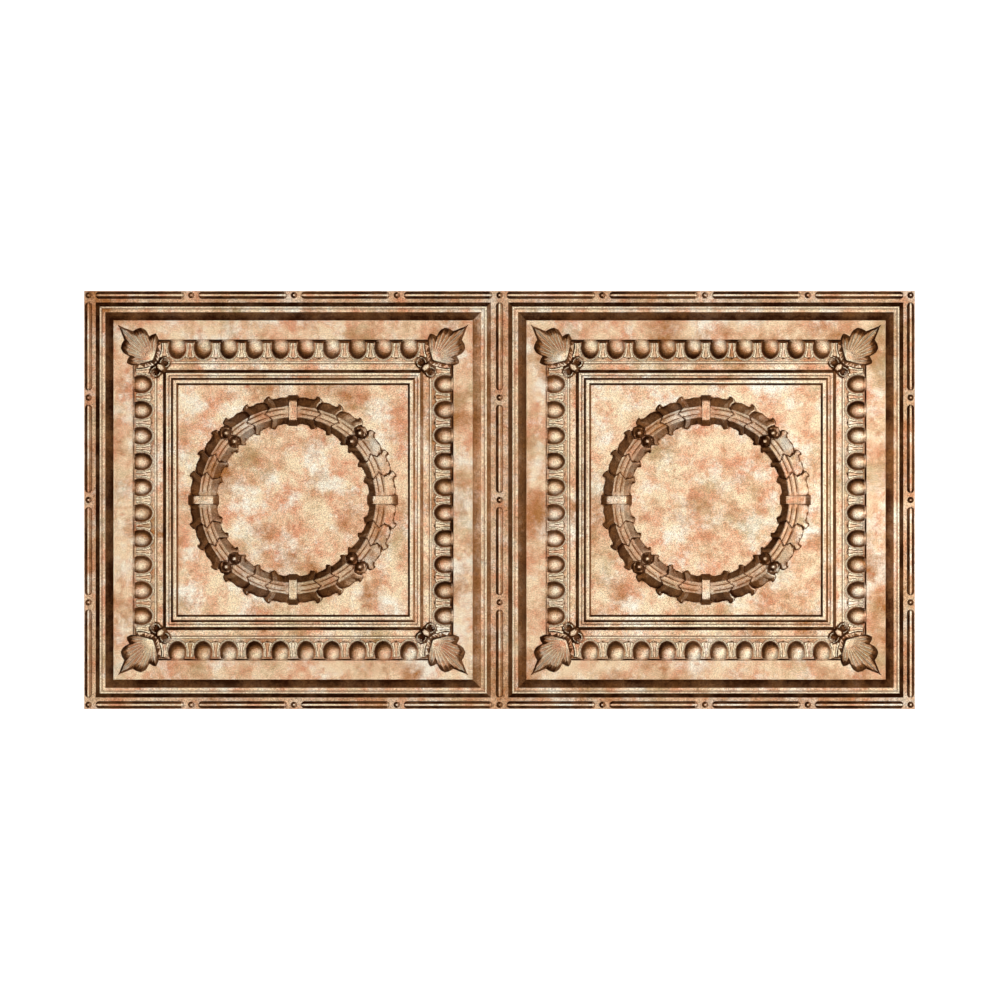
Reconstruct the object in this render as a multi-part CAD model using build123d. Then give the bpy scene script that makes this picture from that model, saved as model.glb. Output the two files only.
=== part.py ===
# Embossed vinyl ceiling tile, two square coffers long. Millimetres, face up, +Z up.
# The sheet is drawn over one form, so its back is the same surface one gauge lower.
import os
from math import cos, radians, sin

from build123d import *

# Sheet
wall = 0.5
unit_count = 2
unit_side = 584.0
rail_width = 25.6
border = 17.0

# Widths across the frame of a coffer, from its foot inward
foot_width = 6.6
ledge_width = 7.9
cove_width = 12.5
field_width = 28.4
drop_width = 2.4
channel_width = 41.9
step_width = 5.2
shelf_width = 6.6
lip_width = 3.8
bead_width = 5.1
inner_drop_width = 2.2

# Heights of the face above the flange
ledge_rise = 4.5
field_rise = 10.5
channel_rise = 4.5
shelf_rise = 8.6
bead_rise = 10.0
bead_crown = 1.0
panel_rise = 7.0

# Eggs and darts
eggs_per_side = 10
egg_pitch = 38.05
egg_width = 26.0
egg_blunt_end = 12.0
egg_point_end = 17.0
egg_rise = 6.5
egg_sides = 8
dart_length = 29.0
dart_width = 12.0
dart_rise = 4.0

# Wreath
wreath_radius = 131.0
tier_count = 3
tier_angle = 13.2
first_tip_angle = 15.4
leaf_angle = 26.0
leaf_half_width = 9.5
leaf_lap = 16.0
leaf_row_offset = 14.0
leaf_flare = 10.0
middle_leaf_rise = 9.0
side_leaf_rise = 6.5
ribbon_length = 43.6
ribbon_width = 12.6
ribbon_rise = 8.6
berry_radius = 6.2
berry_offset = 8.6
berry_rise = 9.0

# Corner leaves
corner_leaf_start = 205.0
corner_leaf_rise = 13.0
lobe_lengths = (79.0, 52.0, 40.0)
lobe_angles = (0.0, 23.0, 47.0)
notch_lengths = (48.0, 36.0)
notch_angles = (10.0, 34.0)

# Edge rods and buttons
rod_width = 9.6
rod_rise = 3.4
rod_margin = 1.4
rods_per_unit = 4
rod_gap = 10.8
button_width = 10.0
button_rise = 3.2

sink = 0.4
base_drop = 6.0
unit_pitch = unit_side + rail_width
half_unit = unit_side / 2
length = unit_side + (unit_count - 1) * unit_pitch + 2 * border
width = unit_side + 2 * border
panel_z = wall + panel_rise
channel_z = wall + channel_rise


def mound(rings):
    faces = [Face(Wire.make_polygon(rings[0]))]
    for lower, upper in zip(rings, rings[1:]):
        for n in range(len(lower)):
            corners = [lower[n - 1], lower[n]]
            corners += [upper[n], upper[n - 1]] if len(upper) > 1 else upper
            faces.append(Face(Wire.make_polygon(corners)))
    if len(rings[-1]) > 1:
        faces.append(Face(Wire.make_polygon(rings[-1])))
    return Solid(Shell(faces))


def polygon(radius, sides, z):
    turns = [radians(360 * (n + 0.5) / sides) for n in range(sides)]
    return [Vector(radius * cos(turn), radius * sin(turn), z) for turn in turns]


def oblong(half_length, half_width, z):
    corners = [(1, 1), (-1, 1), (-1, -1), (1, -1)]
    return [Vector(half_length * x, half_width * y, z) for x, y in corners]


def dome(outline, crown, rise):
    shoulder = [crown + (point - crown) * 0.62 for point in outline]
    shoulder = [Vector(point.X, point.Y, crown.Z - 0.24 * rise) for point in shoulder]
    return mound([outline, shoulder, [crown]])


def polar(radius, angle, z):
    return Vector(radius, 0, z).rotate(Axis.Z, angle)


# Section of one side, from the flange to the middle of the panel
widths = (
    foot_width, ledge_width, cove_width, field_width, drop_width, channel_width,
    step_width, shelf_width, lip_width, bead_width, inner_drop_width,
)
d = [sum(widths[:n]) for n in range(len(widths) + 1)]


def at(distance, rise):
    return (distance - half_unit, wall + rise)


cove_rise = field_rise - ledge_rise
cove_radius = (cove_width**2 + cove_rise**2) / (2 * cove_rise)
bead_middle = at((d[9] + d[10]) / 2, bead_rise + bead_crown)
section = [
    Polyline(at(0, 0), at(d[1], ledge_rise), at(d[2], ledge_rise)),
    RadiusArc(at(d[2], ledge_rise), at(d[3], field_rise), -cove_radius),
    Polyline(at(d[3], field_rise), at(d[4], field_rise), at(d[5], channel_rise)),
    Polyline(at(d[5], channel_rise), at(d[6], channel_rise), at(d[7], shelf_rise)),
    Polyline(at(d[7], shelf_rise), at(d[8], shelf_rise), at(d[9], bead_rise)),
    ThreePointArc(at(d[9], bead_rise), bead_middle, at(d[10], bead_rise)),
    Polyline(at(d[10], bead_rise), at(d[11], panel_rise), at(half_unit, panel_rise)),
    Polyline(at(half_unit, panel_rise), at(half_unit, -base_drop), at(0, -base_drop), at(0, 0)),
]
profile = Plane.YZ * make_face(Curve() + section)
side = extrude(profile, amount=half_unit, both=True)
wedge = make_face(Polyline((0, 0), (-half_unit, -half_unit), (half_unit, -half_unit), close=True))
side = side & extrude(Pos(0, 0, -2 * base_drop) * wedge, amount=6 * base_drop)

# Eggs in the channel, their crowns level with the field, with a dart either side of each
channel_y = d[4] + drop_width / 2 - half_unit
egg_y = channel_y + egg_blunt_end
egg_outline = []
for n in range(egg_sides):
    turn = radians(360 * (n + 0.5) / egg_sides)
    reach = egg_point_end if sin(turn) > 0 else egg_blunt_end
    egg_outline.append(Vector(egg_width / 2 * cos(turn), egg_y + reach * sin(turn), channel_z - sink))
egg = dome(egg_outline, Vector(0, egg_y, channel_z + egg_rise), egg_rise)
dart_outline = [
    Vector(-dart_width / 2, channel_y, channel_z - sink),
    Vector(dart_width / 2, channel_y, channel_z - sink),
    Vector(0, channel_y + dart_length, channel_z - sink),
]
dart = mound([dart_outline, [Vector(0, channel_y + dart_length * 0.7, channel_z + dart_rise)]])
ornaments = []
for n in range(eggs_per_side):
    ornaments.append(Pos((n - (eggs_per_side - 1) / 2) * egg_pitch, 0, 0) * egg)
for n in range(eggs_per_side + 1):
    ornaments.append(Pos((n - eggs_per_side / 2) * egg_pitch, 0, 0) * dart)
side = side.fuse(*ornaments)

# Wreath: three rows of overlapping leaves that run from the ribbons to the berries
low_z = panel_z - sink
leaves = []
for tier in range(tier_count):
    for row in (-1, 0, 1):
        middle = wreath_radius + row * leaf_row_offset
        tip = first_tip_angle + tier * tier_angle + 2 * (row == 0)
        rise = middle_leaf_rise if row == 0 else side_leaf_rise
        outward = leaf_lap if row < 1 else leaf_half_width
        inward = leaf_lap if row > -1 else leaf_half_width
        outline = [
            polar(middle - row * leaf_flare / 2, tip - leaf_angle, low_z),
            polar(middle + outward, tip - leaf_angle * 0.3, low_z),
            polar(middle + row * leaf_flare, tip, low_z),
            polar(middle - inward, tip - leaf_angle * 0.3, low_z),
        ]
        peak = polar(middle + row * leaf_flare * 0.4, tip - leaf_angle * 0.18, panel_z + rise)
        leaves.append(mound([outline, [peak]]))
leaves += [leaf.mirror(Plane.XZ) for leaf in leaves]
ribbon_foot = oblong(ribbon_length / 2, ribbon_width * 0.6, low_z)
ribbon_top = oblong(ribbon_length * 0.32, ribbon_width * 0.36, panel_z + ribbon_rise)
ribbon = Pos(wreath_radius, 0, 0) * mound([ribbon_foot, ribbon_top])
berry = mound([polygon(berry_radius * 1.3, 6, low_z), [Vector(0, 0, panel_z + berry_rise)]])
wreath = []
for turn in range(4):
    wreath += [leaf.rotate(Axis.Z, 90 * turn) for leaf in leaves]
    wreath.append(ribbon.rotate(Axis.Z, 90 * turn))
    for row in (-1, 1):
        wreath.append(Pos(polar(wreath_radius + row * berry_offset, 45 + 90 * turn, 0)) * berry)

# Five-lobed leaf across each corner of the frame, a ridge to each tip and a valley to each notch
leaf_foot = Vector(-corner_leaf_start, -corner_leaf_start, 0)
half_leaf = list(zip(lobe_lengths + notch_lengths, lobe_angles + notch_angles))
half_leaf.sort(key=lambda point: point[1])
points = [(0, 0)] + [(reach, -angle) for reach, angle in reversed(half_leaf)] + half_leaf[1:]
outline = [leaf_foot + polar(reach, 225 + angle, channel_z - sink) for reach, angle in points]
leaf_peak = leaf_foot + polar(lobe_lengths[0] / 3, 225, wall + corner_leaf_rise)
rim_z = wall + field_rise + sink
rim = [leaf_peak + (point - leaf_peak) * 0.92 for point in outline]
corner = mound([outline, [Vector(point.X, point.Y, rim_z) for point in rim], [leaf_peak]])
corners = [corner.rotate(Axis.Z, 90 * turn) for turn in range(4)]
sides = [side.rotate(Axis.Z, 90 * turn) for turn in range(4)]
unit = sides[0].fuse(*sides[1:])
unit = unit.fuse(*wreath, *corners)

# Rods and buttons along the edges and along the rail between the coffers
rod_inset = max(rod_width, button_width) / 2 + rod_margin
line_x = length / 2 - rod_inset
line_y = width / 2 - rod_inset


def rod(span):
    shrink = rod_width * 0.3
    foot = oblong(span / 2, rod_width / 2, wall - sink / 4)
    return mound([foot, oblong(span / 2 - shrink, rod_width / 2 - shrink, wall + rod_rise)])


rail_x = [-line_x] + [(n - unit_count / 2) * unit_pitch for n in range(1, unit_count)] + [line_x]
edging = []
dots = set()
for low, high in zip(rail_x, rail_x[1:]):
    stride = (high - low) / rods_per_unit
    bar = rod(stride - 2 * rod_gap)
    for n in range(rods_per_unit):
        for y in (-line_y, line_y):
            dots.add((low + n * stride, y))
            edging.append(Pos(low + (n + 0.5) * stride, y, 0) * bar)
stride = 2 * line_y / rods_per_unit
bar = Rot(0, 0, 90) * rod(stride - 2 * rod_gap)
for x in rail_x:
    dots.add((x, line_y))
    for n in range(rods_per_unit):
        dots.add((x, -line_y + n * stride))
        edging.append(Pos(x, -line_y + (n + 0.5) * stride, 0) * bar)
dots |= {(line_x, -line_y), (line_x, line_y)}
button = mound([polygon(button_width / 2, 6, wall - sink / 4), [Vector(0, 0, wall + button_rise)]])
edging += [Pos(x, y, 0) * button for x, y in sorted(dots)]

# The form: flange, coffers and edging
flange = Pos(0, 0, wall) * Box(length, width, base_drop, align=(Align.CENTER, Align.CENTER, Align.MAX))
units = [Pos((n - (unit_count - 1) / 2) * unit_pitch, 0, 0) * unit for n in range(unit_count)]
form = flange.fuse(*units, *edging)

# The sheet: the face, the back one gauge lower and the cut edge round both
face = [f for f in form.faces() if f.normal_at().Z > 0.001]
back = [Pos(0, 0, -wall) * f for f in face]
blank = Box(length, width, wall, align=(Align.CENTER, Align.CENTER, Align.MIN))
edge = [f for f in blank.faces() if abs(f.normal_at().Z) < 0.5]
sheet = Solid(Shell(face + back + edge))
os.makedirs("parts", exist_ok=True)
export_step(sheet, "parts/ceiling_tile.step", write_pcurves=False)
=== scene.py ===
from math import pi, radians

import bmesh
import bpy
import numpy as np
from mathutils import Matrix, Vector


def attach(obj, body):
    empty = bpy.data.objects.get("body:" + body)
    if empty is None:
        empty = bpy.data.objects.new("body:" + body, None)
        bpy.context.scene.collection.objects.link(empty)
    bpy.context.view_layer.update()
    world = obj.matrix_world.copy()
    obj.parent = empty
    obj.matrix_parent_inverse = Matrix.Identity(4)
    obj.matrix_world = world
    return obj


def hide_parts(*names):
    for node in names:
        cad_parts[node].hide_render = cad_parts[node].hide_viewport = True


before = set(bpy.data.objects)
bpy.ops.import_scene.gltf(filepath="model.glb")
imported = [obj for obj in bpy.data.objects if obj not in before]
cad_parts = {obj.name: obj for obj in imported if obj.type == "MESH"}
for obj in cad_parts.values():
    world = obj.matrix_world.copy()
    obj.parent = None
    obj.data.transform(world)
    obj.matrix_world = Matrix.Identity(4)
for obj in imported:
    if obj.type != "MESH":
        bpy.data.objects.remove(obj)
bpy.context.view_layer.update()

# Millimetres, as in the solid; half is half the side of a coffer
tile = {"length": 1227.6, "width": 618.0, "pitch": 609.6, "half": 292.0, "gauge": 0.5, "top": 16.45}
slant = 0.70711  # sine of 45 degrees


def smooth(value, low, high):
    share = np.clip((value - low) / (high - low), 0, 1)
    return share * share * (3 - 2 * share)


def ridge(distance, width):
    return np.exp(-((distance / width) ** 2))


def table(pairs, value):
    spots, heights = zip(*pairs)
    return np.interp(value, spots, heights)


# The eight wedges of a coffer are alike, so every place is folded into one of them
def folded(x, y):
    return np.maximum(np.abs(x), np.abs(y)), np.minimum(np.abs(x), np.abs(y))


# Section of the frame: distance in from the foot of the coffer and height of the face
frameSet = {
    "outer": [
        (0, 0.5), (6.2, 4.7), (7.2, 5.0), (8.6, 5.0), (9.2, 4.3), (10.0, 4.3), (10.6, 5.0), (14.5, 5.0),
    ],
    "cove": [(17.6, 6.4), (20.7, 7.85), (23.8, 9.35), (27.0, 11.0)],
    "edge": 55.4,  # the field ends here and drops to the floor of the channel
    "drop": 2.4,
    "floor": 5.0,
    "inner": [
        (87.4, 5.0), (88.0, 5.9), (90.1, 5.9), (90.5, 5.2), (91.3, 5.2), (91.8, 5.9), (99.7, 5.9),
        (104.6, 9.0), (105.4, 9.2), (108.0, 9.2), (108.4, 8.6), (109.0, 8.6), (109.4, 9.2), (111.5, 9.2),
        (114.8, 11.1), (116.2, 11.5), (117.8, 11.6), (119.4, 11.5), (120.4, 10.8), (122.6, 7.5),
    ],
}


def frameRelief(inward):
    face = table(frameSet["outer"] + frameSet["cove"], inward)
    floor = table(frameSet["inner"], inward)
    return face + (floor - face) * np.clip((inward - frameSet["edge"]) / frameSet["drop"], 0, 1)


eggSet = {
    "count": 5,  # to either side of the middle
    "pitch": 38.05,
    "halfWidth": 12.7,
    "crown": 12.6,  # from the field's edge to the widest part
    "blunt": 17.0,
    "point": 15.4,
    "rise": 7.0,
    "rimHalfWidth": 14.4,
    "rimReach": (17.2, 40.0),  # round the point, and open towards the blunt end
    "rimRise": 1.3,
    "rimThick": 0.95,
}
dartSet = {
    "span": (4.6, 28.6),
    "halfWidth": [(0, 5.0), (3, 5.0), (11, 4.0), (19, 5.6), (25, 8.6), (28.6, 0.6)],
    "height": [(1, 2.4), (3, 3.2), (14, 2.6), (26, 3.0), (29, 1.6)],
    "bevel": 0.2,
    "groove": 0.45,
}


# Distance to the side of the nearest egg's middle, and past its widest part
def eggPlace(inward, sideways):
    nearest = np.clip(np.floor(sideways / eggSet["pitch"]), 0, eggSet["count"] - 1)
    return sideways - (nearest + 0.5) * eggSet["pitch"], inward - frameSet["edge"] - eggSet["crown"]


def eggParts(inward, sideways):
    aside, along = eggPlace(inward, sideways)
    pointed = along > 0
    reach = np.where(pointed, eggSet["point"], eggSet["blunt"])
    ball = (aside / eggSet["halfWidth"]) ** 2 + np.abs(along / reach) ** np.where(pointed, 2.0, 2.6)
    egg = eggSet["rise"] * np.sqrt(np.clip(1 - ball, 0, 1)) ** 1.15
    past = inward - frameSet["edge"]
    half = eggSet["rimHalfWidth"]
    shell = np.hypot(aside / half, along / np.where(pointed, *eggSet["rimReach"]))
    rim = eggSet["rimRise"] * ridge((shell - 1) * half, eggSet["rimThick"])
    rim = rim * smooth(past, 2, 8) * (1 - smooth(past, 30.5, 32)) * (sideways < 188)
    knot = np.clip(np.round(sideways / eggSet["pitch"]), 0, eggSet["count"])
    half = table(dartSet["halfWidth"], past)
    across = np.clip(np.abs(sideways - knot * eggSet["pitch"]) / half, 0, 1)
    dart = table(dartSet["height"], past) * np.clip((1 - across) / dartSet["bevel"], 0, 1)
    dart = dart - dartSet["groove"] * ridge((across - 0.36) * half, dartSet["groove"])
    first, last = dartSet["span"]
    return egg, rim, np.where((past > first) & (past < last), np.maximum(dart, 0), 0)


# The leaves' outlines are radii along a leaf, from its foot at 0 to its tip at 1
wreathSet = {
    "tips": (15.6, 28.3, 41.8),  # angles at which the tiers of leaves end
    "span": (2.0, 57.0),
    "rise": 6.4,
    "lift": 3.3,
    "zigzag": [
        (100, 0), (107.5, 0), (109, 0.6), (111.5, 1.6), (115, 0.6), (122.8, -1.5), (133.2, 1.95),
        (139, -1.45), (146, -0.6), (151.5, 0.95), (154.5, 0.4), (156.5, -0.6), (170, -0.6),
    ],
    "outer": [
        (0, 147.8), (0.14, 151), (0.3, 152.4), (0.52, 151.2), (0.7, 151.6), (0.83, 156.6),
        (0.93, 156.8), (1, 153),
    ],
    "inner": [(0, 114), (0.3, 113), (0.52, 112.8), (0.7, 112), (0.83, 108.2), (0.93, 107.4), (1, 109.6)],
    "crest": (122.6, 137.6),
    "middle": 130.9,
    "ribs": 7.5,
    "ribRise": 0.45,
    "reach": (105, 159),
}
ribbonSet = {
    "middle": 132.0,
    "halfWidth": [(0, 6.0), (16, 6.2), (20, 6.8), (23, 7.0)],
    "crown": 132.2,
    "reach": 22.6,
    "foot": 1.2,
    "rise": 7.4,
    "hem": 0.3,
}
berrySet = {
    "places": (122.4, 139.6),
    "radius": 6.4,
    "rise": 8.9,
    "moat": 7.9,
    "moatWidth": 1.5,
    "moatDepth": 3.4,
}


# Radius, share of the way along a leaf, its tier, depth inside the outline and share of the way up its flank
def wreathParts(x, y):
    radius = np.hypot(x, y)
    turn = np.degrees(np.arctan2(y, x))
    zigzag = table(wreathSet["zigzag"], radius)
    tips = wreathSet["tips"]
    first, last = wreathSet["span"]
    tier = sum((turn > tip + zigzag).astype(float) for tip in tips)
    foot = np.interp(tier, range(4), [first, *tips]) + np.where(tier > 0, zigzag, 0)
    tip = np.interp(tier, range(4), [*tips, last]) + zigzag
    along = np.clip((turn - foot) / np.maximum(tip - foot, 0.5), 0, 1)
    outside = table(wreathSet["outer"], along) - radius
    within = radius - table(wreathSet["inner"], along)
    low, high = wreathSet["crest"]
    flank = np.minimum(outside / (outside + radius - high), within / (within + low - radius))
    return radius, along, tier, np.minimum(outside, within), np.clip(flank, 0, 1)


def wreathRelief(x, y):
    radius, along, tier, depth, flank = wreathParts(x, y)
    body = np.where(depth > 0, 0.12 + 0.88 * flank, 0)
    ribs = wreathSet["ribRise"] * np.cos((radius - wreathSet["middle"]) * 2 * pi / wreathSet["ribs"])
    ribs *= smooth(flank, 0.8, 1) * smooth(1 - along, 0, 0.12)
    height = body * (wreathSet["rise"] + wreathSet["lift"] * (along**1.4 - 0.4)) + ribs
    halfWidth = table(ribbonSet["halfWidth"], np.abs(radius - ribbonSet["middle"]))
    arch = np.clip((1 - np.abs((radius - ribbonSet["crown"]) / ribbonSet["reach"])) / 0.5, 0, 1)
    ribbon = ribbonSet["foot"] + ribbonSet["rise"] * np.sin(arch * pi / 2)
    ribbon += ribbonSet["hem"] * ridge(y - halfWidth + 1.0, 0.7)
    height = np.where((y < halfWidth) & (arch > 0), ribbon, height)
    for place in berrySet["places"]:
        gap = np.hypot(x - place * slant, y - place * slant)
        moat = berrySet["moatDepth"] * ridge(gap - berrySet["moat"], berrySet["moatWidth"])
        height = height - moat * smooth(height, 3, 6)
        ball = np.sqrt(np.clip(1 - (gap / berrySet["radius"]) ** 2, 0, 1)) ** 0.8
        height = np.maximum(height, berrySet["rise"] * ball)
    return height


# The corner leaf's outline and veins are angles from its axis, seen from its foot
leafSet = {
    "foot": 207.0,
    "outline": [
        (0, 73), (1, 68), (4, 61.5), (7, 56), (10, 51.5), (18, 51.5), (25, 50.4), (31.6, 45), (36.4, 34.8),
        (45, 37.6), (52, 38.8), (60, 32), (62.5, 20), (70, 9), (90, 4), (120, 3), (180, 2),
    ],
    "veins": (0, 8, 17, 26, 36, 49),
    "field": 11.0,
    "edgeRise": 2.6,
    "edgeWidth": 6.0,
    "rise": 1.4,
    "veinRise": 1.3,
    "corner": 165,
    "curl": (203.0, 189.5),
    "curlRadius": 6.4,
    "bud": 15.5,
    "budRadius": 9.4,
    "budRise": 6.4,
}


# Depth inside the outline, distance from the foot, the outline's own, distance from a vein, place on the axis
def leafParts(x, y):
    a, b = x - leafSet["foot"], y - leafSet["foot"]
    along, aside = (a + b) * slant, np.abs(b - a) * slant
    reach = np.hypot(along, aside)
    angle = np.degrees(np.arctan2(aside, along))
    limit = table(leafSet["outline"], angle)
    veins = [np.abs(reach * np.sin(np.radians(angle - vein))) for vein in leafSet["veins"]]
    return limit - reach, reach, limit, np.min(veins, axis=0), along, aside


def cornerRelief(x, y, under):
    inset, reach, limit, vein, along, aside = leafParts(x, y)
    edge = np.sin(np.clip(inset / leafSet["edgeWidth"], 0, 1) * pi / 2)
    top = leafSet["field"] + leafSet["edgeRise"] * edge + leafSet["rise"] * np.clip(inset / limit, 0, 1)
    top += leafSet["veinRise"] * ridge(vein, 1.1) * smooth(reach, 4, 14) * smooth(inset, 1, 8) * (along > 0)
    z = np.where(inset > 0, np.maximum(under, top), under)
    gap = np.hypot(x - leafSet["curl"][0], y - leafSet["curl"][1])
    curl = np.maximum(z, 5.4) + 2.6 * ridge(gap - leafSet["curlRadius"], 2.2) - 0.8 * ridge(gap, 3.0)
    z = np.where((inset < 0) & (gap < 10.5), curl, z)
    gap = np.hypot(along + leafSet["bud"], aside * 1.35) / leafSet["budRadius"]
    bud = frameSet["floor"] + leafSet["budRise"] * np.sqrt(np.clip(1 - gap**2, 0, 1)) ** 0.8
    return np.where(gap < 1, np.maximum(z, bud), z)


# Height of the face anywhere on a coffer, from its middle
def relief(x, y):
    x, y = folded(x, y)
    inward = tile["half"] - x
    z = frameRelief(inward)
    inBand = (inward > frameSet["edge"] - 1) & (inward < 88) & (y < 197)
    ornament = frameSet["floor"] + np.max(eggParts(inward, y), axis=0)
    z = np.where(inBand, np.maximum(z, ornament), z)
    z = np.where(np.hypot(x, y) < 160, z + wreathRelief(x, y), z)
    inCorner = (x > leafSet["corner"]) & (y > leafSet["corner"])
    return np.minimum(np.where(inCorner, cornerRelief(x, y, z), z), tile["top"])


# Front and back have the cells along a wedge's side before thinning, and the faces left after it
meshSet = {
    "front": (420, 8400),
    "back": (210, 2400),
    "backEase": 1.4,  # the back takes the lowest of the face this far round
    "sharp": 21,
}
cutSet = {"dist": 0.001, "plane_co": (0, 0, 0), "clear_outer": True}


def wedge(cells, faceCount, back):
    half = tile["half"]
    bm = bmesh.new()
    bmesh.ops.create_grid(bm, x_segments=cells, y_segments=cells, size=half / 2)
    bmesh.ops.translate(bm, verts=bm.verts, vec=(half / 2, half / 2, 0))
    columns = np.linspace(0, half, cells + 1)
    section = frameSet["outer"][1:] + frameSet["cove"] + frameSet["inner"]
    for mark in [half - pair[0] for pair in section]:  # a grid line on each edge of the frame
        columns[np.abs(columns - mark).argmin()] = mark
    spots = np.array([v.co[:] for v in bm.verts])
    index = np.rint(spots[:, :2] * cells / half).astype(int)
    x, y = columns[index[:, 0]], columns[index[:, 1]]
    z = relief(x, y)
    if back:
        ease = (-meshSet["backEase"], 0, meshSet["backEase"])
        lowest = np.min([relief(x + a, y + b) for a in ease for b in ease], axis=0)
        z = np.where(np.maximum(x, y) > half - 2, z, lowest) - tile["gauge"]
    for v, a, b, c in zip(bm.verts, x, y, z):
        v.co = (a, b, c)
    bmesh.ops.bisect_plane(bm, geom=bm.verts[:] + bm.edges[:] + bm.faces[:], plane_no=(-1, 1, 0), **cutSet)
    bmesh.ops.triangulate(bm, faces=bm.faces)
    count = len(bm.faces)
    mesh = bpy.data.meshes.new("wedge")
    bm.to_mesh(mesh)
    bm.free()
    holder = bpy.data.objects.new("wedge", mesh)
    bpy.context.scene.collection.objects.link(holder)
    thin = holder.modifiers.new("thin", "DECIMATE")
    thin.ratio = faceCount / count
    bpy.context.view_layer.update()
    made = bpy.data.meshes.new_from_object(holder.evaluated_get(bpy.context.evaluated_depsgraph_get()))
    bpy.data.objects.remove(holder)
    return made


def copied(bm):
    made = bmesh.ops.duplicate(bm, geom=bm.verts[:] + bm.edges[:] + bm.faces[:])["geom"]
    verts = [part for part in made if isinstance(part, bmesh.types.BMVert)]
    return verts, [part for part in made if isinstance(part, bmesh.types.BMFace)]


def coffers(cells, faceCount, back):
    half = tile["half"]
    bm = bmesh.new()
    bm.from_mesh(wedge(cells, faceCount, back))
    for v in [v for v in bm.verts if v.is_boundary]:  # thinning moves the seams a little
        gaps = half - v.co.x, v.co.y, (v.co.x - v.co.y) * slant
        edge, foot, diagonal = [gap < min(gaps) + 0.3 for gap in gaps]
        if diagonal:
            v.co.x = v.co.y = (v.co.x + v.co.y) / 2
        if edge:
            v.co.x, v.co.z = half, tile["gauge"] * (not back)
        if edge and diagonal:
            v.co.y = half
        if foot:
            v.co.y = 0
        if foot and diagonal:
            v.co.x = 0
    onSeam = [f for f in bm.faces if all(abs(v.co.x - v.co.y) < 0.001 for v in f.verts)]
    onSeam += [f for f in bm.faces if all(v.co.y == 0 for v in f.verts)]
    bmesh.ops.delete(bm, geom=onSeam, context="FACES")
    swap = Matrix(((0, 1, 0, 0), (1, 0, 0, 0), (0, 0, 1, 0), (0, 0, 0, 1)))
    for turn in (swap, Matrix.Scale(-1, 4, (1, 0, 0)), Matrix.Scale(-1, 4, (0, 1, 0))):
        verts, faces = copied(bm)
        bmesh.ops.transform(bm, matrix=turn, verts=verts)
        bmesh.ops.reverse_faces(bm, faces=faces)
        bmesh.ops.remove_doubles(bm, verts=bm.verts, dist=0.002)
    bmesh.ops.translate(bm, verts=bm.verts, vec=(tile["pitch"] / 2, 0, 0))
    bmesh.ops.translate(bm, verts=copied(bm)[0], vec=(-tile["pitch"], 0, 0))
    return bm


# Rods and buttons along the edges and the rail; rods are counted to a coffer's side
edgeSet = {
    "inset": 6.4,
    "rods": 4,
    "gap": 10.4,
    "width": 11.0,
    "rise": 3.9,
    "buttonWidth": 9.6,
    "buttonRise": 3.5,
    "segments": (28, 7),
}


def edgeLines():
    lineX, lineY = tile["length"] / 2 - edgeSet["inset"], tile["width"] / 2 - edgeSet["inset"]
    return lineX, lineY, lineX / edgeSet["rods"], 2 * lineY / edgeSet["rods"]


def halfRound(bm, place, halfLength, width, rise):
    around, down = edgeSet["segments"]
    made = bmesh.ops.create_uvsphere(bm, u_segments=around, v_segments=down, radius=width / 2)["verts"]
    bmesh.ops.rotate(bm, verts=made, cent=(0, 0, 0), matrix=Matrix.Rotation(pi / 2, 3, "Y"))
    for v in made:
        v.co.x += halfLength * (1 if v.co.x > 0 else -1)
        v.co.z *= rise / (width / 2)
    edges = list({e for v in made for e in v.link_edges})
    faces = list({f for v in made for f in v.link_faces})
    bmesh.ops.bisect_plane(bm, geom=made + edges + faces, plane_no=(0, 0, -1), **cutSet)
    bmesh.ops.transform(bm, matrix=place, verts=[v for v in made if v.is_valid])


def edging():
    bm = bmesh.new()
    lineX, lineY, stepX, stepY = edgeLines()
    rods, size = edgeSet["rods"], (edgeSet["width"], edgeSet["rise"])
    end = edgeSet["gap"] + edgeSet["width"] / 2
    for y in (-lineY, lineY):
        for n in range(-rods, rods):
            halfRound(bm, Matrix.Translation(((n + 0.5) * stepX, y, 0)), stepX / 2 - end, *size)
    quarterTurn = Matrix.Rotation(pi / 2, 4, "Z")
    for x in (-lineX, 0, lineX):
        for n in range(rods):
            spot = Matrix.Translation((x, (n + 0.5) * stepY - lineY, 0))
            halfRound(bm, spot @ quarterTurn, stepY / 2 - end, *size)
    dots = {(n * stepX, y) for n in range(-rods, rods + 1) for y in (-lineY, lineY)}
    dots |= {(x, n * stepY - lineY) for n in range(1, rods) for x in (-lineX, 0, lineX)}
    for x, y in sorted(dots):
        halfRound(bm, Matrix.Translation((x, y, 0)), 0, edgeSet["buttonWidth"], edgeSet["buttonRise"])
    mesh = bpy.data.meshes.new("edging")
    bm.to_mesh(mesh)
    bm.free()
    return mesh


def flange(bm, z):
    x, y = tile["length"] / 2, tile["width"] / 2
    corners = [bm.verts.new((a, b, z)) for a, b in ((-x, -y), (x, -y), (x, y), (-x, y))]
    for n in range(4):
        bm.edges.new((corners[n - 1], corners[n]))
    borders = [e for e in bm.edges if len(e.link_faces) < 2 and abs(e.verts[0].co.z - z) < 0.01]
    bmesh.ops.triangle_fill(bm, use_beauty=True, use_dissolve=False, edges=borders, normal=(0, 0, 1))


def sheetHalf(cells, faceCount, back):
    z = 0 if back else tile["gauge"]
    bm = coffers(cells, faceCount, back)
    rods = edging()
    rods.transform(Matrix.Translation((0, 0, z)))
    bm.from_mesh(rods)
    flange(bm, z)
    bmesh.ops.recalc_face_normals(bm, faces=bm.faces)
    bm.faces.ensure_lookup_table()
    facing = sum(f.normal.z * f.calc_area() for f in bm.faces)
    if (facing < 0) != back:
        bmesh.ops.reverse_faces(bm, faces=bm.faces)
    mesh = bpy.data.meshes.new("half")
    bm.to_mesh(mesh)
    bm.free()
    return mesh


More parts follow.
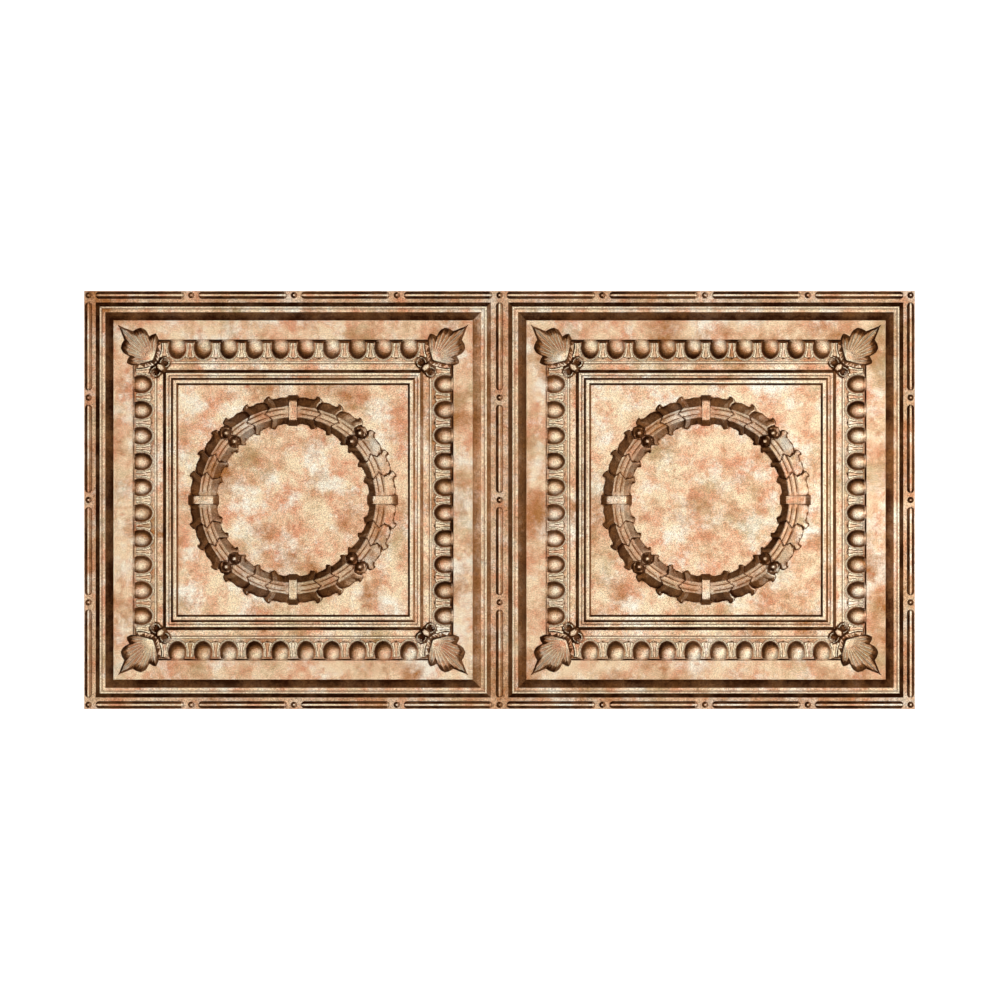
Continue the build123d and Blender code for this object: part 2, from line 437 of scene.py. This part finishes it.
# Dark glaze lies in hollows and painted shade lies on slopes, and painted light lifts both where the face
# turns to the right
paintSet = {
    "slopeShade": (0.885, 0.985),
    "hollow": (0.2, 1.2),
    "paintedLight": 0.42,
    "paintedLightTurn": (0.06, 0.32),
    "paintedLightEnd": (440, 540),
    "seamPaintedLight": 0.3,
    "seam": (30, 60),
    "ground": 0.28,
    "rowLight": (0.3, 0.42),  # to the right and outward, as shares of an egg
    "rowShade": (0.35, 1.4),
    "columnLight": (0.08, -0.16),  # to the right and up
    "columnShade": (0.2, 1.08),
    "paintedShine": (0.05, 0.6),
    "shadeBars": (4.7, 1.9),
    "shadeBarHalf": 11.5,
    "wreathWipe": 0.86,
    "ribbonHalf": 7.2,
    "ribbonMost": 0.72,
    "berryHalo": 7.6,
    "pit": 3.3,
    "dark": 0.97,
    "rodNear": 7,
    "rodHighlight": (0.6, 1.6),
    "flange": 0.27,
}


# Painted shading on the eggs, lit in rows from their outer side and in columns from below, and painted shade
# bars lie between the eggs
def eggPaint(glazeAndShade, x, y, leftCoffer):
    outward, sideways = folded(x, y)
    inward = tile["half"] - outward
    past = inward - frameSet["edge"]
    egg, rim, dart = eggParts(inward, sideways)
    band = (past > 0) & (past < 32) & (sideways < 190)
    egg, rim = band & (egg > 0.2), band & (rim > 0.6) & (rim > egg)
    row = np.abs(y) > np.abs(x)
    wide, thin = paintSet["shadeBars"]
    # painted shade bars are thick on the sides turned away from the light
    thick = np.where(x > 0, np.where(leftCoffer, wide, thin), 0)
    thick = np.where(row, np.where(y > 0, wide, thin), thick)
    ground = np.where(past > 30.2, 0.1, np.where(past > thick, paintSet["ground"], glazeAndShade))
    glazeAndShade = np.where(band, np.where(dart > 0.4, 0.8 * glazeAndShade, ground), glazeAndShade)
    aside, along = eggPlace(inward, sideways)
    aside, along = aside / eggSet["halfWidth"], -along / eggSet["crown"]
    rowRight, rowOut = paintSet["rowLight"]
    columnRight, columnUp = paintSet["columnLight"]
    right = np.sign(x) * np.where(row, aside, along) - np.where(row, rowRight, columnRight)
    up = np.sign(y) * np.where(row, along, aside) - np.where(row, rowOut * np.sign(y), columnUp)
    fromLight = np.hypot(right * np.where(row, 1, 0.85), up)
    inRow, inColumn = smooth(fromLight, *paintSet["rowShade"]), smooth(fromLight, *paintSet["columnShade"])
    # painted shade and light across each egg
    glazeAndShade = np.where(egg, 0.95 * np.where(row, inRow, inColumn), glazeAndShade)
    glazeAndShade = np.where(rim, 0.03, glazeAndShade)
    fromKnot = sideways - np.round(sideways / eggSet["pitch"]) * eggSet["pitch"]
    drop = (past > -0.4) & (past < wide) & (sideways < 196)
    # painted shade bar on the drop between two eggs
    shadeBar = drop & (thick > 0) & (past < thick * (1 - (fromKnot / paintSet["shadeBarHalf"]) ** 2))
    glazeAndShade = np.where(shadeBar, paintSet["dark"], np.where(drop & (past < 2.6), 0.2, glazeAndShade))
    # painted highlight on each egg; the rims are painted bright as highlights
    paintedShine = 0.7 * egg * (1 - smooth(fromLight, *paintSet["paintedShine"]))
    return glazeAndShade, np.maximum(paintedShine, rim)


# Painted shade on the leaves' flanks, crests light with dark valleys, a painted highlight near each tip, and
# each tip casts a painted shadow line on the next leaf
def wreathPaint(glazeAndShade, outward, sideways, paintedLightRight):
    radius, along, tier, depth, flank = wreathParts(outward, sideways)
    low, high = wreathSet["reach"]
    near = (radius > low) & (radius < high)
    leaf = near & (depth > 0) & (sideways > paintSet["ribbonHalf"])
    for place in berrySet["places"]:
        leaf &= np.hypot(outward - place * slant, sideways - place * slant) > paintSet["berryHalo"]
    lapped = tier > 0
    # painted shade on the flanks, darkest at the edges and where a leaf laps under the one before
    flankShade = 0.8 + 0.2 * (1 - smooth(depth, 0.6, 4.5)) + 0.2 * (1 - smooth(along, 0.03, 0.24)) * lapped
    # painted highlight near the hooked tip
    flankShade -= 0.25 * ridge(along - 0.8, 0.1) * smooth(depth, 3.5, 8.0)
    # painted light from the right on the flanks
    litShare = paintedLightRight * smooth(depth, 0.2, 2.6) * np.where(radius < wreathSet["crest"][0], 0.66, 1)
    flankShade *= 1 - paintSet["wreathWipe"] * litShare
    valley = np.abs(np.abs(radius - wreathSet["middle"]) - wreathSet["ribs"] / 2)
    crest = 0.2 + 0.6 * ridge(valley, 1.0) * smooth(along, 0.1, 0.3)
    # painted shadow cast by each tip on the next leaf
    tipShadow = 0.9 * (1 - smooth(along, 0.05, 0.12)) * lapped
    glazeAndShade = np.where(leaf, np.maximum(np.where(flank < 0.92, flankShade, crest), tipShadow), glazeAndShade)
    ribbon = near & (sideways < paintSet["ribbonHalf"])
    return np.where(ribbon, np.minimum(glazeAndShade, paintSet["ribbonMost"]), glazeAndShade)


# Corner leaves get painted shade round the edge, are dark between the veins, and their curls have dark pits
def leafPaint(glazeAndShade, outward, sideways, paintedLightRight):
    inset, reach, limit, vein, along, aside = leafParts(outward, sideways)
    leaf = (outward > leafSet["corner"]) & (sideways > leafSet["corner"]) & (inset > 0) & (along > 0)
    valley = smooth(vein, 0.7, 1.9) * smooth(reach, 9, 20) * smooth(inset, 1, 5)
    # painted shade round the leaf's edge, less where the painted light from the right falls
    edge = paintSet["dark"] * (1 - smooth(inset, 6.0, 13.0)) * (1 - paintSet["paintedLight"] * paintedLightRight)
    glazeAndShade = np.where(leaf, np.maximum(0.36 * valley, edge), glazeAndShade)
    pit = np.hypot(outward - leafSet["curl"][0], sideways - leafSet["curl"][1]) < paintSet["pit"]
    return np.where(pit, 0.95, glazeAndShade)


# Rods and buttons get painted shade but for a painted highlight line along the top
def edgePaint(spots, paintedLightRight):
    x, y, z = spots.T
    lineX, lineY, stepX, stepY = edgeLines()
    near = paintSet["rodNear"]
    fromRow = np.abs(np.abs(y) - lineY)
    fromColumn = np.minimum(np.abs(np.abs(x) - lineX), np.abs(x))
    alongRow = np.abs(x - np.round(x / stepX) * stepX)
    alongColumn = np.abs(y - np.round(y / stepY) * stepY)
    inRow = np.where(alongRow < near, np.hypot(fromRow, alongRow), fromRow)
    inColumn = np.where(alongColumn < near, np.hypot(fromColumn, alongColumn), fromColumn)
    across = np.where(fromRow < near, inRow, inColumn)
    # painted shade on the sides of rods and buttons, a painted highlight line along the top, less shade where
    # the painted light from the right falls
    rods = paintSet["dark"] * smooth(across, *paintSet["rodHighlight"]) * (1 - 0.5 * paintedLightRight)
    return np.where(z > tile["gauge"] + 0.2, rods, paintSet["flange"])


# Three shares on each face: glaze and painted shade over the print, print rubbed bright and painted
# highlights, and printed or bare
def patinaAndPaintedLight(mesh):
    spots = np.empty(len(mesh.polygons) * 3)
    turned = np.empty(len(mesh.polygons) * 3)
    mesh.polygons.foreach_get("center", spots)
    mesh.polygons.foreach_get("normal", turned)
    spots, turned = spots.reshape(-1, 3) * 1000, turned.reshape(-1, 3)
    across, lean = spots[:, 0], turned[:, 2]
    x, y = across - np.sign(across) * tile["pitch"] / 2, spots[:, 1]
    outward, sideways = folded(x, y)
    inward = tile["half"] - outward
    inside = inward > 1
    ring = [(np.cos(a) * 3.0, np.sin(a) * 3.0) for a in np.linspace(0, 2 * pi, 9)[:-1]]
    hollow = np.mean([relief(x + a, y + b) for a, b in ring], axis=0) - relief(x, y)
    # painted light from the right on faces turned to the right, fading out across the right coffer
    paintedLightRight = smooth(turned[:, 0], *paintSet["paintedLightTurn"]) * (1 - smooth(across, *paintSet["paintedLightEnd"]))
    # dark glaze in hollows and painted shade on steep slopes
    glazeAndShade = np.maximum(1 - smooth(lean, *paintSet["slopeShade"]), 0.85 * smooth(hollow, *paintSet["hollow"]))
    # painted light lifts the glaze and painted shade there
    glazeAndShade *= 1 - paintSet["paintedLight"] * paintedLightRight
    # painted light on the right coffer's slopes near the middle seam
    glazeAndShade *= 1 - paintSet["seamPaintedLight"] * (across > 0) * (1 - smooth(across, *paintSet["seam"]))
    glazeAndShade, bright = eggPaint(glazeAndShade, x, y, across < 0)
    glazeAndShade = wreathPaint(glazeAndShade, outward, sideways, paintedLightRight)
    glazeAndShade = leafPaint(glazeAndShade, outward, sideways, paintedLightRight)
    glazeAndShade = np.maximum(glazeAndShade, 0.08 * (inward < frameSet["edge"]))
    glazeAndShade = np.where(inside, glazeAndShade, edgePaint(spots, paintedLightRight))
    printed = lean > 0.05
    glazeAndShade = np.where(lean < 0.05, 0, glazeAndShade)
    # convex edges rubbed bright, also painted as highlights
    rubAndHighlight = smooth(-hollow, 0.1, 0.7) * np.where(np.hypot(x, y) < 160, 0.3, 1) * smooth(lean, 0.6, 0.95)
    # painted highlights on the eggs and rims
    rubAndHighlight = np.maximum(rubAndHighlight, bright) * inside * (1 - glazeAndShade)
    for name, share in {"glazeAndShade": glazeAndShade, "rubAndHighlight": rubAndHighlight, "printed": printed}.items():
        store = mesh.attributes.new(name, "FLOAT", "FACE")
        store.data.foreach_set("value", share.astype(float))


def ceilingTile():
    bm = bmesh.new()
    bm.from_mesh(sheetHalf(*meshSet["front"], False))
    bm.from_mesh(sheetHalf(*meshSet["back"], True))
    rims = [e for e in bm.edges if len(e.link_faces) == 1]
    print("open edges before the rim", len(rims))
    bmesh.ops.bridge_loops(bm, edges=rims)
    bmesh.ops.scale(bm, vec=(0.001, 0.001, 0.001), verts=bm.verts)
    print("open edges after it", sum(1 for e in bm.edges if len(e.link_faces) != 2))
    print("triangles", sum(len(f.verts) - 2 for f in bm.faces))
    mesh = bpy.data.meshes.new("ceilingTile")
    bm.to_mesh(mesh)
    bm.free()
    mesh.polygons.foreach_set("use_smooth", [True] * len(mesh.polygons))
    mesh.set_sharp_from_angle(angle=radians(meshSet["sharp"]))
    patinaAndPaintedLight(mesh)
    piece = bpy.data.objects.new("ceilingTile", mesh)
    bpy.context.scene.collection.objects.link(piece)
    weighted = piece.modifiers.new("weighted", "WEIGHTED_NORMAL")
    weighted.keep_sharp = True
    return piece


piece = ceilingTile()
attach(piece, "root")
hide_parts("ceiling_tile")
print("sheet made")


def hexColour(text):
    parts = [int(text[n:n + 2], 16) / 255 for n in (0, 2, 4)]
    return [*(p / 12.92 if p <= 0.04045 else ((p + 0.055) / 1.055) ** 2.4 for p in parts), 1]


def addNode(tree, kind, settings=None, inputs=None, links=None):
    node = tree.nodes.new(kind)
    for name, value in (settings or {}).items():
        setattr(node, name, value)
    for name, value in (inputs or {}).items():
        node.inputs[name].default_value = value
    for name, source in (links or {}).items():
        tree.links.new(source, node.inputs[name])
    return node


def newMaterial(name):
    material = bpy.data.materials.new(name)
    material.use_nodes = True
    material.node_tree.nodes.clear()
    return material, material.node_tree


# Sizes of the patterns in millimetres; a patch has its colour, size and the noise where it begins and is full
printSet = {
    "cream": "F6D8B2",
    "patches": [
        ("DB9A76", 34, 0.42, 0.62), ("FFF2DC", 52, 0.50, 0.64), ("A96F3E", 82, 0.50, 0.68),
        ("BE6C4C", 17, 0.57, 0.76), ("A08C5C", 88, 0.53, 0.76),
    ],
    "streak": ("BE8F5F", 7, 130),
    # colour of rubbed edges and painted highlights
    "bright": "FFEBC8",
    "brightMost": 0.8,
    "rub": 55,
    # tints of the glaze and painted shade
    "glazeAndShade": [("8A5424", 0.0, 0.55, 0.9), ("351503", 0.4, 1.0, 0.98)],
    "grain": (1.1, 0.3, 1.7),
    "bare": "D9D2C4",
    "metallic": 0.6,
    "roughness": 0.4,
    "specular": 0.05,
}


# Rigid vinyl, vacuum formed and printed in antique copper, which looks satin and mottled, from cream to
# salmon, under a brown glaze that is rubbed thin on what stands proud, with painted shade and painted
# highlights. The back is bare.
def copperVinyl():
    material, tree = newMaterial("copperPrintedVinyl")
    rgba, times = {"data_type": "RGBA"}, {"operation": "MULTIPLY"}
    spot = addNode(tree, "ShaderNodeTexCoord").outputs["Object"]
    colour = addNode(tree, "ShaderNodeRGB").outputs[0]
    colour.default_value = hexColour(printSet["cream"])
    for n, (tint, size, low, high) in enumerate(printSet["patches"]):
        shift = {1: (3.1 * n, 7.7 * n, 0)}  # no two layers alike
        moved = addNode(tree, "ShaderNodeVectorMath", {"operation": "ADD"}, shift, {0: spot})
        scale = {"Scale": 1000 / size, "Detail": 8, "Roughness": 0.72}
        noise = addNode(tree, "ShaderNodeTexNoise", None, scale, {"Vector": moved.outputs[0]})
        share = addNode(tree, "ShaderNodeMapRange", None, {1: low, 2: high}, {0: noise.outputs["Fac"]})
        links = {0: share.outputs[0], 6: colour}
        colour = addNode(tree, "ShaderNodeMix", rgba, {7: hexColour(tint)}, links).outputs[2]

    # Streaks down the sheet
    tint, wide, tall = printSet["streak"]
    drawn = addNode(tree, "ShaderNodeVectorMath", times, {1: (1, wide / tall, 1)}, {0: spot})
    scale = {"Scale": 1000 / wide, "Detail": 3}
    noise = addNode(tree, "ShaderNodeTexNoise", None, scale, {"Vector": drawn.outputs[0]})
    share = addNode(tree, "ShaderNodeMapRange", None, {1: 0.55, 2: 0.8, 4: 0.4}, {0: noise.outputs["Fac"]})
    links = {0: share.outputs[0], 6: colour}
    colour = addNode(tree, "ShaderNodeMix", rgba, {7: hexColour(tint)}, links).outputs[2]

    # Rubbed edges and painted highlights, then the glaze and painted shade, brown where thin and nearly black
    # where thick
    rubAndHighlight = addNode(tree, "ShaderNodeAttribute", {"attribute_name": "rubAndHighlight"})
    cover = addNode(tree, "ShaderNodeMath", times, {1: printSet["brightMost"]}, {0: rubAndHighlight.outputs["Fac"]})
    links = {0: cover.outputs[0], 6: colour}
    colour = addNode(tree, "ShaderNodeMix", rgba, {7: hexColour(printSet["bright"])}, links).outputs[2]
    glazeAndShade = addNode(tree, "ShaderNodeAttribute", {"attribute_name": "glazeAndShade"})
    scale = {"Scale": 1000 / printSet["rub"], "Detail": 7, "Roughness": 0.78}
    noise = addNode(tree, "ShaderNodeTexNoise", None, scale, {"Vector": spot})
    limits = {1: 0.4, 2: 0.66, 3: 1.08, 4: 0.62}
    rub = addNode(tree, "ShaderNodeMapRange", None, limits, {0: noise.outputs["Fac"]})
    links = {0: glazeAndShade.outputs["Fac"], 1: rub.outputs[0]}
    glazeAndShade = addNode(tree, "ShaderNodeMath", times, None, links)
    for tint, low, high, most in printSet["glazeAndShade"]:
        share = addNode(tree, "ShaderNodeMapRange", None, {1: low, 2: high, 4: most}, {0: glazeAndShade.outputs[0]})
        links = {0: share.outputs[0], 6: colour}
        colour = addNode(tree, "ShaderNodeMix", rgba, {7: hexColour(tint)}, links).outputs[2]

    # Grain of the print, drawn coarser than it is so that it shows
    size, faint, strong = printSet["grain"]
    noise = addNode(tree, "ShaderNodeTexNoise", None, {"Scale": 1000 / size, "Detail": 1}, {"Vector": spot})
    limits = {1: 0.25, 2: 0.75, 3: faint, 4: strong}
    grain = addNode(tree, "ShaderNodeMapRange", None, limits, {0: noise.outputs["Fac"]})
    links = {6: colour, 7: grain.outputs[0]}
    colour = addNode(tree, "ShaderNodeMix", {**rgba, "blend_type": "MULTIPLY"}, {0: 1.0}, links).outputs[2]

    # Bare vinyl behind
    printed = addNode(tree, "ShaderNodeAttribute", {"attribute_name": "printed"})
    links = {0: printed.outputs["Fac"], 7: colour}
    colour = addNode(tree, "ShaderNodeMix", rgba, {6: hexColour(printSet["bare"])}, links).outputs[2]
    metal = addNode(tree, "ShaderNodeMath", times, {1: printSet["metallic"]}, {0: printed.outputs["Fac"]})
    finish = {"Roughness": printSet["roughness"], "Specular IOR Level": printSet["specular"]}
    links = {"Base Color": colour, "Metallic": metal.outputs[0]}
    shader = addNode(tree, "ShaderNodeBsdfPrincipled", None, finish, links)
    addNode(tree, "ShaderNodeOutputMaterial", None, None, {"Surface": shader.outputs[0]})
    return material


piece.data.materials.append(copperVinyl())
print("finish made")

# White paper just under the sheet, which looks white to the camera and still takes a shadow
floorSet = {"half": 6, "under": 0.0001, "paper": "E7E7E7", "lift": 0.62}
white = hexColour("FFFFFF")
floorMesh = bpy.data.meshes.new("floor")
bm = bmesh.new()
bmesh.ops.create_grid(bm, x_segments=1, y_segments=1, size=floorSet["half"])
bmesh.ops.translate(bm, verts=bm.verts, vec=(0, 0, -floorSet["under"]))
bm.to_mesh(floorMesh)
bm.free()
floor = bpy.data.objects.new("floor", floorMesh)
bpy.context.scene.collection.objects.link(floor)
material, tree = newMaterial("whitePaper")
path = addNode(tree, "ShaderNodeLightPath")
paper = addNode(tree, "ShaderNodeBsdfDiffuse", None, {"Color": hexColour(floorSet["paper"])})
lift = addNode(tree, "ShaderNodeEmission", None, {"Color": white, "Strength": floorSet["lift"]})
both = addNode(tree, "ShaderNodeAddShader", None, None, {0: paper.outputs[0], 1: lift.outputs[0]})
links = {0: path.outputs["Is Camera Ray"], 1: paper.outputs[0], 2: both.outputs[0]}
mix = addNode(tree, "ShaderNodeMixShader", None, None, links)
addNode(tree, "ShaderNodeOutputMaterial", None, None, {"Surface": mix.outputs[0]})
floorMesh.materials.append(material)

# Soft light from above that falls off to the sides, and a window to the right
studioSet = {"From Min": 0.45, "From Max": 0.85, "To Min": 0.06, "To Max": 1.26}
world = bpy.data.worlds.new("studio")
bpy.context.scene.world = world
world.use_nodes = True
tree = world.node_tree
tree.nodes.clear()
path = addNode(tree, "ShaderNodeLightPath")
where = addNode(tree, "ShaderNodeTexCoord")
split = addNode(tree, "ShaderNodeSeparateXYZ", None, None, {"Vector": where.outputs["Generated"]})
soft = {"interpolation_type": "SMOOTHSTEP"}
fade = addNode(tree, "ShaderNodeMapRange", soft, studioSet, {"Value": split.outputs["Z"]})
dome = addNode(tree, "ShaderNodeBackground", None, {"Color": white}, {"Strength": fade.outputs[0]})
plain = addNode(tree, "ShaderNodeBackground", None, {"Color": white, "Strength": 1.0})
links = {0: path.outputs["Is Camera Ray"], 1: dome.outputs[0], 2: plain.outputs[0]}
mix = addNode(tree, "ShaderNodeMixShader", None, None, links)
addNode(tree, "ShaderNodeOutputWorld", None, None, {"Surface": mix.outputs[0]})

windowSet = {"spot": (0.95, 0.0, 0.75), "aim": (-0.3, 0.0, 0.0), "size": (0.3, 0.9), "power": 2.3}
lamp = bpy.data.lights.new("window", "AREA")
lamp.shape = "RECTANGLE"
lamp.size, lamp.size_y = windowSet["size"]
lamp.energy = windowSet["power"]
window = bpy.data.objects.new("window", lamp)
window.location = windowSet["spot"]
aim = Vector(windowSet["aim"]) - Vector(windowSet["spot"])
window.rotation_euler = aim.to_track_quat("-Z", "Y").to_euler()
bpy.context.scene.collection.objects.link(window)

# Camera straight above, far off, so that nothing shows perspective
viewSet = {"height": 10.0, "across": 1.4778, "centre": (0.0007, 0.0), "sensor": 36}
lens = bpy.data.cameras.new("camera")
lens.sensor_width = viewSet["sensor"]
lens.lens = viewSet["sensor"] * viewSet["height"] / viewSet["across"]
lens.clip_end = 50
camera = bpy.data.objects.new("camera", lens)
camera.location = (*viewSet["centre"], viewSet["height"])
bpy.context.scene.collection.objects.link(camera)
bpy.context.scene.camera = camera
bpy.context.scene.view_settings.view_transform = "Standard"
print("stage set")

print("scene ready")
